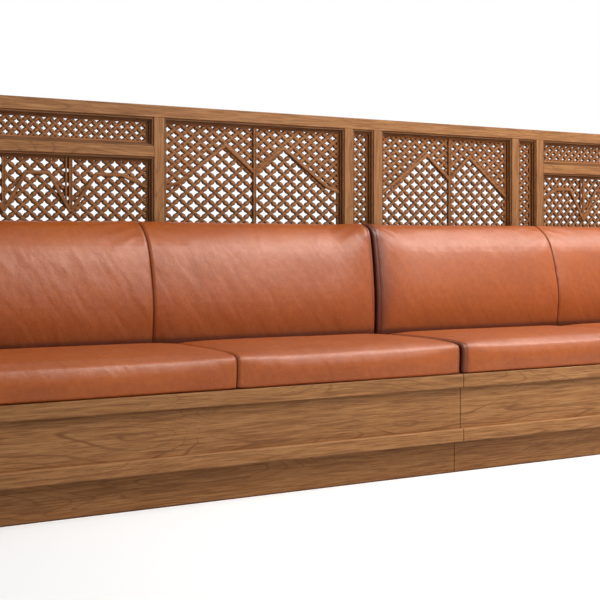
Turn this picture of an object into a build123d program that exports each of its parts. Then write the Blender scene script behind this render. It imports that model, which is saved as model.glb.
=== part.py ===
from build123d import *
import math
import os

# Long restaurant banquette: two seat modules in front of one latticed wooden screen.
# Lengths are in millimetres. X runs along the seats, the front faces -Y and Z is up.
# The origin is on the floor, under the middle of the whole booth.
# A "depth" below is measured backwards from the face of the front rails.

# Modules and boards
module_length = 1830.0
board_thickness = 18.0
arris = 1.5
screen_face_depth = 720.0

# Plinth
plinth_height = 115.0
plinth_setback = 53.0

# Front of the carcass
rail_depth = 45.0
lower_rail_height = 42.0
front_panel_height = 143.0
front_panel_setback = 19.5
top_rail_height = 45.0
rail_end_gap = 1.5
bearer_place_shares = (0.33, 0.67)

# Bolts with sleeve nuts through the two joint panels
bolt_radius = 4.0
bolt_play = 0.3
bolt_head_radius = 8.5
bolt_head_thickness = 4.0
bolt_inset_along_depth = 120.0
bolt_inset_from_edge = 45.0

# Screen frame
stile_width = 40.0
stile_depth = 50.0
screen_top_rail_height = 44.0
lattice_opening_height = 406.0
upper_light_height = 105.0
cross_rail_height = 38.0
mid_rail_drop = 27.0
mid_rail_height = 55.0
bottom_rail_height = 70.0
inner_stile_shares = (-0.449, -0.0051, 0.0703, 0.4615, 0.5375)

# Coach screws from each carcass back into the stiles at the ends of the long bays
screw_radius = 3.0
screw_play = 0.2
screw_length = 46.0
screw_head_radius = 6.5
screw_head_thickness = 4.0
screw_edge_distance = 12.0
screw_height_share = 0.55

# Stepped moulding round each opening of the screen
moulding_width = 13.0
moulding_step_width = 6.0
moulding_setback = 5.0
moulding_step_drop = 9.0

# Lattice of crossed slats and the trim planted on it
lattice_setback = 25.0
lattice_border = 6.0
slat_thickness = 6.0
slat_width_share = 0.43
trim_width = 13.0
trim_thickness = 6.0
twin_trim_width = 6.0
twin_trim_gap = 7.0

# Seat cushion
cushion_gap = 3.0
seat_cushion_setback = 2.0
seat_cushion_depth = 516.0
seat_cushion_height = 106.0
seat_cushion_crown = 10.0
seat_front_radius = 34.0
seat_back_radius = 24.0
seat_foot_radius = 8.0
seat_side_bulge = 4.0
seat_seam_share = 0.475
seat_board_thickness = 12.0
seat_board_inset = 28.0

# Back cushion
cushion_parting = 6.0
back_cushion_top = 872.0
back_seam_share = 0.5
back_board_thickness = 12.0
back_board_inset = 60.0
batten_thickness = 15.0
batten_height = 50.0
batten_inset = 120.0
batten_play = 0.5
wall_batten_share = 0.6

# Outline of the back cushion from its foot over the top to its back. Each pair is a share of
# its thickness, from the belly backwards, and a share of its height.
back_outline_shares = {
    "foot": (0.09, 0.0),
    "low": (0.035, 0.2),
    "belly": (0.0, 0.446),
    "chest": (0.11, 0.655),
    "neck": (0.27, 0.829),
    "brow": (0.49, 0.932),
    "crown": (0.82, 1.0),
    "nape": (0.95, 0.985),
    "back": (1.0, 0.955),
}

# How both kinds of cushion draw in at an end and at a sewn seam: distances along the cushion,
# with the draw there. What is left of the crown falls off with the same draw.
end_draw = ((0.0, 17.0), (3.0, 10.0), (9.0, 4.0), (22.0, 1.0), (60.0, 0.0))
seam_draw = ((0.0, 7.0), (4.0, 3.5), (12.0, 1.0), (45.0, 0.0))

# Pitches of the lattice along X and Z, and the place of one hole's centre: its distance from
# the mullion or from the left of the field, and its drop below the tops of the stiles
fine_pitch = (38.2, 37.5)
west_strip_hole = (35.2, 57.0)
far_strip_hole = (28.3, 57.0)
wide_low_pitch = (58.4, 50.6)
wide_low_hole = (45.0, 291.0)
wide_high_pitch = (52.0, 42.5)
wide_high_hole = (43.0, 38.0)
east_low_pitch = (54.8, 50.6)
east_low_hole = (35.5, 287.0)
east_high_pitch = (49.0, 42.0)
east_high_hole = (25.0, 55.0)
narrow_pitch = (40.0, 40.0)
narrow_hole = (33.5, 97.0)
slim_pitch = (39.0, 40.0)
slim_hole = (21.9, 170.0)
west_pitch = (51.5, 49.0)
west_hole = (45.0, 298.0)
far_pitch = (43.0, 48.8)
far_hole = (22.6, 285.0)

# Gables planted on the two wide bays. Places along X are shares of a leaf from the mullion
# outwards, and heights are shares of the lattice's height.
gable_shares = ((0.0, 0.546), (0.34, 0.815), (0.864, 0.421), (1.0, 0.372))
east_gable_shares = ((0.0, 0.546), (0.345, 0.815), (0.965, 0.395), (1.0, 0.372))
mullion_shares = {"wide": 0.493, "east": 0.528}

# Windows planted on the end bays: mullions as shares of the bay from the inner stile, and
# the outline of a light between two of them, in shares of its width and of the lattice's height
west_mullion_shares = (0.314, 0.573, 0.832)
far_mullion_shares = (0.317, 0.636)
light_shares = ((0.33, 0.78), (0.67, 0.78))
light_foot_share = 0.18
light_edge_share = 0.6

# Lines that the sizes above fix
overall_depth = screen_face_depth + stile_depth
front_y = -overall_depth / 2
screen_y = front_y + screen_face_depth
rail_back_y = front_y + rail_depth
carcass_top = plinth_height + lower_rail_height + front_panel_height + top_rail_height
deck_underside = carcass_top - board_thickness
mid_rail_top = back_cushion_top - mid_rail_drop
stile_top = mid_rail_top + lattice_opening_height
screen_height = stile_top + screen_top_rail_height
overrun = 5.0
nodes = {}


def board(x, y, z):
    """A box between three pairs of limits."""
    size = (x[1] - x[0], y[1] - y[0], z[1] - z[0])
    return Pos(x[0], y[0], z[0]) * Box(*size, align=(Align.MIN, Align.MIN, Align.MIN))


def eased(solid, direction, facing=None):
    """Take the arris off the edges that run along a direction, all or those in front."""
    edges = solid.edges().filter_by(direction)
    if facing is not None:
        edges = edges.group_by(Axis.Y)[facing]
    return chamfer(edges, arris)


def rod(centre, radius, length, direction):
    """A cylinder that starts at a point and runs along a direction."""
    plane = Plane(origin=centre, z_dir=direction)
    return extrude(plane * Circle(radius), amount=length)


def hexagon(centre, radius, length, direction):
    """A hexagonal head that starts at a point and runs along a direction."""
    plane = Plane(origin=centre, z_dir=direction)
    return extrude(plane * RegularPolygon(radius, 6), amount=length)


def standing(sketch, y, thickness):
    """Raise a sketch drawn in X and Z to a slab whose front lies at y."""
    plane = Plane(origin=(0, y + thickness, 0), x_dir=(1, 0, 0), z_dir=(0, -1, 0))
    return extrude(plane * sketch, amount=thickness, dir=(0, -1, 0))


def panel_sketch(x, z):
    """A rectangle in X and Z between two pairs of limits."""
    return Pos(x[0], z[0]) * Rectangle(x[1] - x[0], z[1] - z[0], align=(Align.MIN, Align.MIN))


def polygon(points):
    """A face in X and Z through points given in order."""
    return Face(Wire.make_polygon([(x, z, 0) for x, z in points]))


def shrunk(limits, by):
    """Move both limits inwards."""
    return limits[0] + by, limits[1] - by


def as_list(shape):
    """The separate solids of a shape."""
    return list(shape.solids())


# Carcass of one module, drawn on the right of the joint

def bolt_places():
    """Depths and heights of the four bolts through an end of the carcass."""
    ys = (rail_back_y + bolt_inset_along_depth, screen_y - bolt_inset_along_depth)
    zs = (plinth_height + bolt_inset_from_edge, deck_underside - bolt_inset_from_edge)
    return [(y, z) for y in ys for z in zs]


def carcass_end(x0):
    """An end of the carcass with its four bolt holes."""
    panel = board((x0, x0 + board_thickness), (rail_back_y, screen_y), (plinth_height, deck_underside))
    for y, z in bolt_places():
        start = (x0 - overrun, y, z)
        panel -= rod(start, bolt_radius + bolt_play, board_thickness + 2 * overrun, (1, 0, 0))
    return panel


def divider_places():
    """Where the cross boards stand: both ends and the bearers between them."""
    inner = [share * module_length - board_thickness / 2 for share in bearer_place_shares]
    return [0, *inner, module_length - board_thickness]


def plinth_frame():
    """Back board of the plinth and the cross bearers between it and the toe board."""
    back_y = (screen_y - board_thickness, screen_y)
    between = (front_y + plinth_setback + board_thickness, screen_y - board_thickness)
    pieces = [board((0, module_length), back_y, (0, plinth_height))]
    for x0 in divider_places():
        pieces.append(board((x0, x0 + board_thickness), between, (0, plinth_height)))
    return pieces


def stile_spans():
    """Limits in X of the seven stiles, left to right."""
    ends = (-module_length + stile_width / 2, module_length - stile_width / 2)
    inner = [share * module_length for share in inner_stile_shares]
    return [(x - stile_width / 2, x + stile_width / 2) for x in (ends[0], *inner, ends[1])]


def screw_places():
    """Places in X of the coach screws: the middle of a stile, or clear of the carcass end."""
    reach = module_length - board_thickness - screw_edge_distance
    spans = stile_spans()
    chosen = [spans[0], spans[1], spans[-3], spans[-1]]
    return [max(-reach, min(reach, sum(span) / 2)) for span in chosen]


def screw_height():
    """Height of the coach screws."""
    return plinth_height + screw_height_share * (deck_underside - plinth_height)


def carcass_back(side):
    """Back of the carcass between its ends, with the holes for its screws."""
    x = shrunk((0, module_length), board_thickness)
    back_y = (screen_y - board_thickness, screen_y)
    panel = board(x, back_y, (plinth_height, deck_underside))
    for place in screw_places():
        if place * side > 0:
            start = (abs(place), screen_y - board_thickness - overrun, screw_height())
            panel -= rod(start, screw_radius + screw_play, board_thickness + 2 * overrun, (0, 1, 0))
    return panel


def front_boards():
    """Toe board, the two rails and the recessed panel between them, left to right of a module."""
    x = (rail_end_gap, module_length)
    rail_y = (front_y, rail_back_y)
    lower_z = (plinth_height, plinth_height + lower_rail_height)
    panel_z = (lower_z[1], lower_z[1] + front_panel_height)
    panel_front = front_y + front_panel_setback
    toe_front = front_y + plinth_setback
    return {
        "plinth_front": board(x, (toe_front, toe_front + board_thickness), (0, plinth_height)),
        "lower_rail": eased(board(x, rail_y, lower_z), Axis.X, 0),
        "front_panel": board(x, (panel_front, panel_front + board_thickness), panel_z),
        "top_rail": eased(board(x, rail_y, (panel_z[1], carcass_top)), Axis.X, 0),
    }


# Cushions

def drawn_stations(length, seam):
    """Places along a cushion and the draw at each, for its two ends and its seam."""
    stations = [(x, draw) for x, draw in end_draw]
    stations += [(length - x, draw) for x, draw in end_draw]
    stations += [(seam - x, draw) for x, draw in seam_draw]
    stations += [(seam + x, draw) for x, draw in seam_draw[1:]]
    return sorted(stations)


def corner(start, bend, end):
    """An arc from start to end that turns round the inside of the corner at bend."""
    hold = 1 - math.sqrt(0.5)
    middle = Vector(*bend) * (1 - 2 * hold) + (Vector(*start) + Vector(*end)) * hold
    return ThreePointArc(start, middle, end)


def seat_section(x, draw):
    """Outline of the seat cushion at one place along it."""
    fall = 1 - draw / end_draw[0][1]
    front = front_y + seat_cushion_setback + draw
    back = front_y + seat_cushion_setback + seat_cushion_depth - draw
    foot = carcass_top
    top = foot + seat_cushion_height - draw
    bulge = seat_side_bulge * (1 + fall) / 2
    low = foot + seat_foot_radius
    inner_front = front + bulge
    inner_back = back - bulge
    waist = (low + top) / 2
    a = (x, inner_front + seat_foot_radius, foot)
    b = (x, inner_front, low)
    c = (x, inner_front, top - seat_front_radius)
    d = (x, inner_front + seat_front_radius, top)
    e = (x, inner_back - seat_back_radius, top)
    f = (x, inner_back, top - seat_back_radius)
    g = (x, inner_back, low)
    h = (x, inner_back - seat_foot_radius, foot)
    crown = (x, (d[1] + e[1]) / 2, top + seat_cushion_crown * (1 + fall) / 2)
    return Wire([
        corner(a, (x, inner_front, foot), b),
        ThreePointArc(b, (x, front, waist), c),
        corner(c, (x, inner_front, top), d),
        ThreePointArc(d, crown, e),
        corner(e, (x, inner_back, top), f),
        ThreePointArc(f, (x, back, waist), g),
        corner(g, (x, inner_back, foot), h),
        Line(h, a),
    ])


def back_section(x, draw):
    """Outline of the back cushion at one place along it."""
    belly = front_y + seat_cushion_setback + seat_cushion_depth + cushion_parting
    back = screen_y - batten_thickness
    height = back_cushion_top - carcass_top

    def place(name):
        across, up = back_outline_shares[name]
        y = belly + draw + across * (back - belly - draw)
        return x, y, carcass_top + up * (height - draw)

    foot, low, belly_point, chest, neck, brow, crown, nape, edge = map(place, back_outline_shares)
    return Wire([
        ThreePointArc(foot, low, belly_point),
        ThreePointArc(belly_point, chest, neck),
        ThreePointArc(neck, brow, crown),
        ThreePointArc(crown, nape, edge),
        Line(edge, (x, back, carcass_top)),
        Line((x, back, carcass_top), foot),
    ])


def lofted_cushion(section, seam_share):
    """A cushion drawn through its sections, between the gaps at the two ends of a module."""
    length = module_length - 2 * cushion_gap
    seam = seam_share * module_length - cushion_gap
    wires = [section(cushion_gap + x, draw) for x, draw in drawn_stations(length, seam)]
    return Solid.make_loft(wires, ruled=True)


def seat_board():
    """Plywood let into the underside of the seat cushion."""
    x = shrunk((cushion_gap, module_length - cushion_gap), seat_board_inset)
    front = front_y + seat_cushion_setback
    y = shrunk((front, front + seat_cushion_depth), seat_board_inset)
    return board(x, y, (carcass_top, carcass_top + seat_board_thickness))


def back_board():
    """Plywood let into the back of the back cushion."""
    x = shrunk((cushion_gap, module_length - cushion_gap), back_board_inset)
    back = screen_y - batten_thickness
    z = shrunk((carcass_top, back_cushion_top), back_board_inset)
    return board(x, (back - back_board_thickness, back), z)


def batten_line():
    """Height of the low edge where the two split battens meet."""
    return carcass_top + wall_batten_share * (back_cushion_top - carcass_top)


def split_batten(upper):
    """One of the two bevelled battens that a back cushion hangs on, above or below the line."""
    near = screen_y - batten_thickness
    meet = batten_line()
    if upper:
        lift = batten_play
        outline = [(near, meet + batten_thickness + lift), (screen_y - batten_play, meet + lift + batten_play),
                   (screen_y - batten_play, meet + batten_height), (near, meet + batten_height)]
    else:
        front = near + batten_play
        outline = [(front, meet + batten_thickness - batten_play), (screen_y, meet),
                   (screen_y, meet - batten_height), (front, meet - batten_height)]
    x = shrunk((0, module_length), batten_inset)
    face = Face(Wire.make_polygon([(x[0], y, z) for y, z in outline]))
    return extrude(face, amount=x[1] - x[0], dir=(1, 0, 0))


def module(side, name):
    """All the nodes of one module; side is 1 for the right one and -1 for the left one."""
    seat = seat_board()
    rest = back_board()
    bearers = [board((x, x + board_thickness), (rail_back_y, screen_y - board_thickness),
                     (plinth_height, deck_underside)) for x in divider_places()[1:-1]]
    deck = board((0, module_length), (rail_back_y, screen_y), (deck_underside, carcass_top))
    pieces = {
        **front_boards(),
        "plinth_frame": plinth_frame(),
        "joint_panel": carcass_end(0),
        "end_panel": carcass_end(module_length - board_thickness),
        "seat_bearers": bearers,
        "carcass_back": carcass_back(side),
        "seat_deck": deck,
        "seat_board": seat,
        "seat_cushion": lofted_cushion(seat_section, seat_seam_share) - seat,
        "back_board": rest,
        "back_cushion": lofted_cushion(back_section, back_seam_share) - rest,
        "cushion_batten": split_batten(upper=True),
        "wall_batten": split_batten(upper=False),
    }
    for piece, shape in pieces.items():
        solids = shape if isinstance(shape, list) else as_list(shape)
        if side < 0:
            solids = [mirror(solid, about=Plane.YZ) for solid in solids]
        nodes[f"{piece}_{name}"] = solids


# Screen behind both modules

def bays():
    """Limits in X of the six bays between the stiles, left to right."""
    spans = stile_spans()
    return [(left[1], right[0]) for left, right in zip(spans, spans[1:])]


def stiles():
    """The seven uprights, drilled for the screws of the carcass backs."""
    pieces = []
    for span in stile_spans():
        stile = eased(board(span, (screen_y, screen_y + stile_depth), (0, stile_top)), Axis.Z, 0)
        for place in screw_places():
            if span[0] < place < span[1]:
                start = (place, screen_y - overrun, screw_height())
                depth = screw_length - board_thickness + overrun + screw_play
                stile -= rod(start, screw_radius + screw_play, depth, (0, 1, 0))
        pieces += as_list(stile)
    return pieces


def between_stiles(z, thickness):
    """A board in each bay, flush with the front of the stiles."""
    return [board(bay, (screen_y, screen_y + thickness), z) for bay in bays()]


def cross_rails():
    """The two rails that part the end bays."""
    top = stile_top - upper_light_height
    rails = []
    for bay in (bays()[0], bays()[-1]):
        rail = board(bay, (screen_y, screen_y + stile_depth), (top - cross_rail_height, top))
        rails += as_list(eased(rail, Axis.X, 0))
    return rails


def openings():
    """Limits in X and Z of the eight openings of the screen."""
    west, wide, narrow, east, slim, far = bays()
    tall = (mid_rail_top, stile_top)
    strip = (stile_top - upper_light_height, stile_top)
    low = (mid_rail_top, strip[0] - cross_rail_height)
    return {"west_strip": (west, strip), "west": (west, low), "wide": (wide, tall),
            "narrow": (narrow, tall), "east": (east, tall), "slim": (slim, tall),
            "far": (far, low), "far_strip": (far, strip)}


def mitred(limits, inset, side):
    """Corners of one mitred length of a frame: its outer edge and its edge at an inset."""
    (left, right), (low, high) = limits
    outer = [(left, low), (right, low), (right, high), (left, high)]
    inner = [(left + inset, low + inset), (right - inset, low + inset),
             (right - inset, high - inset), (left + inset, high - inset)]
    after = (side + 1) % len(outer)
    return [outer[side], outer[after], inner[after], inner[side]]


def moulding(opening):
    """Four mitred lengths of a two-step moulding round one opening."""
    x, z = opening
    high_width = moulding_width - moulding_step_width
    step = (shrunk(x, high_width), shrunk(z, high_width))
    front = screen_y + moulding_setback
    back = screen_y + lattice_setback
    lengths = []
    for side in range(4):
        high = standing(polygon(mitred(opening, high_width, side)), front, back - front)
        low = standing(polygon(mitred(step, moulding_step_width, side)), front + moulding_step_drop,
                       back - front - moulding_step_drop)
        lengths += as_list(high + low)
    return lengths


def clear_of_frame(opening):
    """Limits of the field of slats inside the border of a lattice."""
    x, z = opening
    return shrunk(x, moulding_width + lattice_border), shrunk(z, moulding_width + lattice_border)


def slats(region, pitch, hole):
    """Two layers of slats that cross round holes, one of which is centred on the given place."""
    rise = math.atan2(pitch[1], pitch[0])
    spacing = pitch[0] * math.sin(rise)
    width = slat_width_share * spacing
    box = region.bounding_box()
    middle = box.center()
    reach = (box.size.X + box.size.Y) / math.cos(rise)
    across = (box.size.X / pitch[0] + box.size.Y / pitch[1]) / 2 + 1
    pieces = []
    for layer, sign in enumerate((1, -1)):
        offset = (hole[1] - middle.Y) / pitch[1] - sign * (hole[0] - middle.X) / pitch[0]
        first = math.ceil(-across - offset)
        for k in range(first, first + math.ceil(2 * across) + 1):
            centre = Pos(middle.X, middle.Y + (k + 0.5 + offset) * pitch[1])
            strip = centre * Rot(0, 0, sign * math.degrees(rise)) * Rectangle(reach, width)
            inside = region & strip
            for face in inside.faces() if inside else []:
                if face.area > width * width:
                    y = screen_y + lattice_setback + layer * slat_thickness
                    pieces += as_list(standing(face, y, slat_thickness))
    return pieces


def border(opening):
    """Plain frame in which the slats of one lattice end."""
    x, z = opening
    field = clear_of_frame(opening)
    ring = panel_sketch(x, z) - panel_sketch(*field)
    return as_list(standing(ring, screen_y + lattice_setback, 2 * slat_thickness))


def strip_along(points, width):
    """A mitred band of one width along a run of points."""
    ways = [Vector(*b) - Vector(*a) for a, b in zip(points, points[1:])]
    normals = [Vector(-way.Y, way.X).normalized() for way in ways]
    sides = [normals[0]]
    for before, after in zip(normals, normals[1:]):
        bisector = (before + after).normalized()
        sides.append(bisector / bisector.dot(after))
    sides.append(normals[-1])
    left = [Vector(*point) + side * (width / 2) for point, side in zip(points, sides)]
    right = [Vector(*point) - side * (width / 2) for point, side in zip(points, sides)]
    return Sketch() + polygon([(spot.X, spot.Y) for spot in right + left[::-1]])


def plain_lattice(opening, pitch, hole_from_left):
    """A lattice of one pitch; the hole is given from the left of its field."""
    field = clear_of_frame(opening)
    hole = (field[0][0] + hole_from_left[0], stile_top - hole_from_left[1])
    return border(opening) + slats(panel_sketch(*field), pitch, hole)


def gable_points(field, middle, shares, hand):
    """Points of a gable from the mullion to one side of the field."""
    edge = field[0][1] if hand > 0 else field[0][0]
    low, high = field[1]
    return [(middle + x * (edge - middle), low + z * (high - low)) for x, z in shares]


def gabled_lattice(opening, mullion_share, shares, low_grid, high_grid):
    """A lattice in two leaves, each with one pitch under its gable and another above."""
    field = clear_of_frame(opening)
    (left, right), (bottom, top) = field
    middle = left + mullion_share * (right - left)
    pieces = border(opening)
    for hand, edge in ((-1, left), (1, right)):
        line = gable_points(field, middle, shares, hand)
        under = polygon([(middle, bottom), *line, (edge, bottom)])
        above = polygon([(middle, top), *line, (edge, top)])
        for region, (pitch, hole) in ((under, low_grid), (above, high_grid)):
            pieces += slats(region, pitch, (middle + hand * hole[0], stile_top - hole[1]))
    return pieces


def gable_trim(opening, mullion_share, shares):
    """Raised mullion and gables, in one piece, up to the moulding."""
    inside = panel_sketch(shrunk(opening[0], moulding_width), shrunk(opening[1], moulding_width))
    field = clear_of_frame(opening)
    (left, right), (bottom, top) = field
    middle = left + mullion_share * (right - left)
    trim = strip_along([(middle, opening[1][0]), (middle, opening[1][1])], trim_width)
    for hand, edge in ((-1, opening[0][0]), (1, opening[0][1])):
        line = gable_points(field, middle, shares, hand)
        trim += strip_along([*line, (edge, line[-1][1])], trim_width)
    return standing(trim & inside, screen_y + lattice_setback - trim_thickness, trim_thickness)


def light_points(start, end, heights, open_start, open_end):
    """Outline of a window light between two uprights, with its feet on the mullions."""
    foot, edge, flat = heights
    first = edge if open_start else foot
    last = edge if open_end else foot
    return [(start, first), (start + light_shares[0][0] * (end - start), flat),
            (start + light_shares[1][0] * (end - start), flat), (end, last)]


def window_trim(opening, shares, hand):
    """Raised twin mullions and flat-topped lights, in one piece, up to the moulding."""
    inside = panel_sketch(shrunk(opening[0], moulding_width), shrunk(opening[1], moulding_width))
    (left, right), (bottom, top) = clear_of_frame(opening)
    height = top - bottom
    near, away = (left, right) if hand > 0 else (right, left)
    mullions = [near + share * (away - near) for share in shares]
    foot = bottom + light_foot_share * height
    heights = (foot, bottom + light_edge_share * height, bottom + light_shares[0][1] * height)
    places = [near, *mullions, away]
    trim = Sketch()
    for k, (start, end) in enumerate(zip(places, places[1:])):
        points = light_points(start, end, heights, k == 0, k == len(places) - 2)
        trim += strip_along(points, trim_width)
    for x in mullions:
        trim += strip_along([(x, foot), (x, opening[1][1])], trim_width)
        twin = x - trim_width / 2 - twin_trim_gap - twin_trim_width / 2
        rise = foot + (trim_width + twin_trim_gap)
        trim += strip_along([(twin, rise), (twin, opening[1][1])], twin_trim_width)
    return standing(trim & inside, screen_y + lattice_setback - trim_thickness, trim_thickness)


def screen():
    """All the nodes of the screen."""
    top_rail = board((-module_length, module_length), (screen_y, screen_y + stile_depth),
                     (stile_top, screen_height))
    mid_z = (mid_rail_top - mid_rail_height, mid_rail_top)
    nodes["screen_top_rail"] = as_list(eased(top_rail, Axis.X))
    nodes["screen_stiles"] = stiles()
    nodes["screen_cross_rails"] = cross_rails()
    nodes["screen_mid_rails"] = between_stiles(mid_z, stile_depth)
    nodes["screen_bottom_rails"] = between_stiles((0, bottom_rail_height), stile_depth)
    nodes["screen_back_panels"] = between_stiles((bottom_rail_height, mid_z[0]), board_thickness)
    where = openings()
    for name, opening in where.items():
        nodes[f"moulding_{name}"] = moulding(opening)
    lattices = {
        "west_strip": plain_lattice(where["west_strip"], fine_pitch, west_strip_hole),
        "west": plain_lattice(where["west"], west_pitch, west_hole),
        "wide": gabled_lattice(where["wide"], mullion_shares["wide"], gable_shares,
                               (wide_low_pitch, wide_low_hole), (wide_high_pitch, wide_high_hole)),
        "narrow": plain_lattice(where["narrow"], narrow_pitch, narrow_hole),
        "east": gabled_lattice(where["east"], mullion_shares["east"], east_gable_shares,
                               (east_low_pitch, east_low_hole), (east_high_pitch, east_high_hole)),
        "slim": plain_lattice(where["slim"], slim_pitch, slim_hole),
        "far": plain_lattice(where["far"], far_pitch, far_hole),
        "far_strip": plain_lattice(where["far_strip"], fine_pitch, far_strip_hole),
    }
    for name, pieces in lattices.items():
        nodes[f"lattice_{name}"] = pieces
    nodes["trim_wide"] = as_list(gable_trim(where["wide"], mullion_shares["wide"], gable_shares))
    nodes["trim_east"] = as_list(gable_trim(where["east"], mullion_shares["east"], east_gable_shares))
    nodes["trim_west"] = as_list(window_trim(where["west"], west_mullion_shares, -1))
    nodes["trim_far"] = as_list(window_trim(where["far"], far_mullion_shares, 1))


# Fasteners

def joint_bolts():
    """Bolts and sleeve nuts that draw the two joint panels together."""
    bolts = []
    for y, z in bolt_places():
        for hand in (-1, 1):
            seat = hand * board_thickness
            head = hexagon((seat, y, z), bolt_head_radius, bolt_head_thickness, (hand, 0, 0))
            shank = rod((0, y, z), bolt_radius, board_thickness, (hand, 0, 0))
            bolts += as_list(head + shank)
    return bolts


def screen_screws():
    """Coach screws through the carcass backs into the stiles."""
    screws = []
    seat = screen_y - board_thickness
    for x in screw_places():
        start = (x, seat, screw_height())
        head = hexagon(start, screw_head_radius, screw_head_thickness, (0, -1, 0))
        shank = rod(start, screw_radius, screw_length, (0, 1, 0))
        screws += as_list(head + shank)
    return screws


def write_parts():
    """Write one STEP file for each node."""
    os.makedirs("parts", exist_ok=True)
    for name, solids in nodes.items():
        shape = solids[0] if len(solids) == 1 else Compound(children=solids)
        export_step(shape, f"parts/{name}.step")
    print(len(nodes), "nodes,", sum(len(solids) for solids in nodes.values()), "solids")


module(-1, "left")
module(1, "right")
screen()
nodes["joint_bolts"] = joint_bolts()
nodes["screen_screws"] = screen_screws()
write_parts()
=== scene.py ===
import math

import bmesh
import bpy
import numpy
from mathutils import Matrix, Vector


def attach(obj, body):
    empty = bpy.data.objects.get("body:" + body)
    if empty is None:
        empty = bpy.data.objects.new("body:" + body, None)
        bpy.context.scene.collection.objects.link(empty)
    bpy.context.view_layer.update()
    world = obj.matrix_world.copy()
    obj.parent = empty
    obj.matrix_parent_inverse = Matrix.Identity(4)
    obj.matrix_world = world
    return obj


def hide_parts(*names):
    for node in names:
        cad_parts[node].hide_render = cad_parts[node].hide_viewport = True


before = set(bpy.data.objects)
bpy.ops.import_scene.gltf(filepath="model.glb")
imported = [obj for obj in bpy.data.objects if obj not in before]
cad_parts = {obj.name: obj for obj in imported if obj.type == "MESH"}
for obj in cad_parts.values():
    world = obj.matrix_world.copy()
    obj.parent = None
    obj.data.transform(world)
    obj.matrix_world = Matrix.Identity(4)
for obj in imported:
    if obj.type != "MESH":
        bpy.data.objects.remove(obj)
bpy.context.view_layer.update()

mm = 0.001
scene = bpy.context.scene


# small helpers for meshes and for node trees

def selectAll():
    bpy.ops.mesh.select_all(action="SELECT")


def endEdit():
    bpy.ops.object.mode_set(mode="OBJECT")


def closed():
    # every face turned outwards, then out of edit mode
    selectAll()
    bpy.ops.mesh.normals_make_consistent(inside=False)
    endEdit()


def clearSelection():
    if bpy.context.object and bpy.context.object.mode != "OBJECT":
        endEdit()
    bpy.ops.object.select_all(action="DESELECT")


def activate(piece):
    clearSelection()
    piece.select_set(True)
    bpy.context.view_layer.objects.active = piece


def editAll(kind="VERT"):
    # edit mode with everything selected
    bpy.ops.object.mode_set(mode="EDIT")
    bpy.ops.mesh.select_mode(type=kind)
    selectAll()


def selectPoints(piece, chosen):
    edit = bmesh.from_edit_mesh(piece.data)
    for vert in edit.verts:
        vert.select = vert.index in chosen
    edit.select_flush_mode()
    bmesh.update_edit_mesh(piece.data)


def pick(piece, kind, test):
    # selects the faces, edges or vertices of a piece whose middle or normal passes the test
    if bpy.context.object != piece:
        activate(piece)
    editAll(kind)
    bpy.ops.mesh.select_all(action="DESELECT")
    edit = bmesh.from_edit_mesh(piece.data)
    items = {"VERT": edit.verts, "EDGE": edit.edges, "FACE": edit.faces}[kind]
    for item in items:
        corners = [item] if kind == "VERT" else item.verts
        item.select = test(sum((vert.co for vert in corners), Vector()) / len(corners), item)
    edit.select_flush_mode()
    bmesh.update_edit_mesh(piece.data)


def named(name):
    # the piece just added, with its place moved into its mesh
    piece = bpy.context.object
    piece.name = name
    piece.data.name = name
    bpy.ops.object.transform_apply(location=True, rotation=True, scale=True)
    return piece


def joined(parts, name):
    clearSelection()
    for part in parts:
        part.select_set(True)
    bpy.context.view_layer.objects.active = parts[0]
    bpy.ops.object.join()
    return named(name)


def modified(piece, kind, values):
    # a modifier with these values, applied at once
    activate(piece)
    change = piece.modifiers.new("change", kind)
    for key, value in values.items():
        setattr(change, key, value)
    bpy.ops.object.modifier_apply(modifier="change")


def copied(piece):
    twin = piece.copy()
    twin.data = piece.data.copy()
    scene.collection.objects.link(twin)
    return twin


def smoothed(piece, angle):
    activate(piece)
    bpy.ops.object.shade_smooth_by_angle(angle=math.radians(angle))


def painted(piece, finish):
    piece.data.materials.clear()
    piece.data.materials.append(finish)


def newFinish(name):
    finish = bpy.data.materials.new(name)
    finish.use_nodes = True
    return finish, finish.node_tree, finish.node_tree.nodes["Principled BSDF"]


def fixed(node, values):
    for name, value in values.items():
        node.inputs[name].default_value = value


def sums(tree, kind, first, second):
    node = tree.nodes.new("ShaderNodeMath")
    node.operation = kind
    for place, value in enumerate((first, second)):
        if isinstance(value, (int, float)):
            node.inputs[place].default_value = value
        else:
            tree.links.new(value, node.inputs[place])
    return node.outputs[0]


# camera, floor and studio light

studio = {
    "cameraPlace": (-2.479, -3.557, 0.784),
    "cameraTurn": -29.98,
    "lens": 69.66,
    "shiftY": -0.0892,
    "farthest": 60,
    "lampTint": (1.0, 0.995, 0.98),
    "worldTint": (1.0, 0.995, 0.99, 1),
    "worldLight": 0.19,
    "floorSize": 40,
    "floorGlow": 0.36,
    "floorTone": 0.78,
}
lamps = {
    "key": {"place": (1.9, -1.8, 3.3), "aim": (0.8, 0.0, 0.7), "size": (5.4, 1.0), "power": 198},
    "fill": {"place": (2.4, -4.7, 2.8), "aim": (-0.3, 0.0, 0.4), "size": (2.4, 0.7), "power": 61},
    "rear": {"place": (0.0, 4.4, 1.9), "aim": (0.0, 0.38, 0.7), "size": (4.0, 1.6), "power": 75},
    "sheen": {"place": (1.9, -0.85, 3.7), "aim": (0.5, 0.1, 0.8), "size": (5.4, 0.8), "power": 105},
}


def addCamera():
    bpy.ops.object.camera_add(location=studio["cameraPlace"])
    camera = bpy.context.object
    camera.name = "photoCamera"
    camera.rotation_euler = (math.radians(90), 0, math.radians(studio["cameraTurn"]))
    camera.data.lens = studio["lens"]
    camera.data.sensor_width = 36
    camera.data.shift_y = studio["shiftY"]
    camera.data.clip_end = studio["farthest"]
    scene.camera = camera


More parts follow.
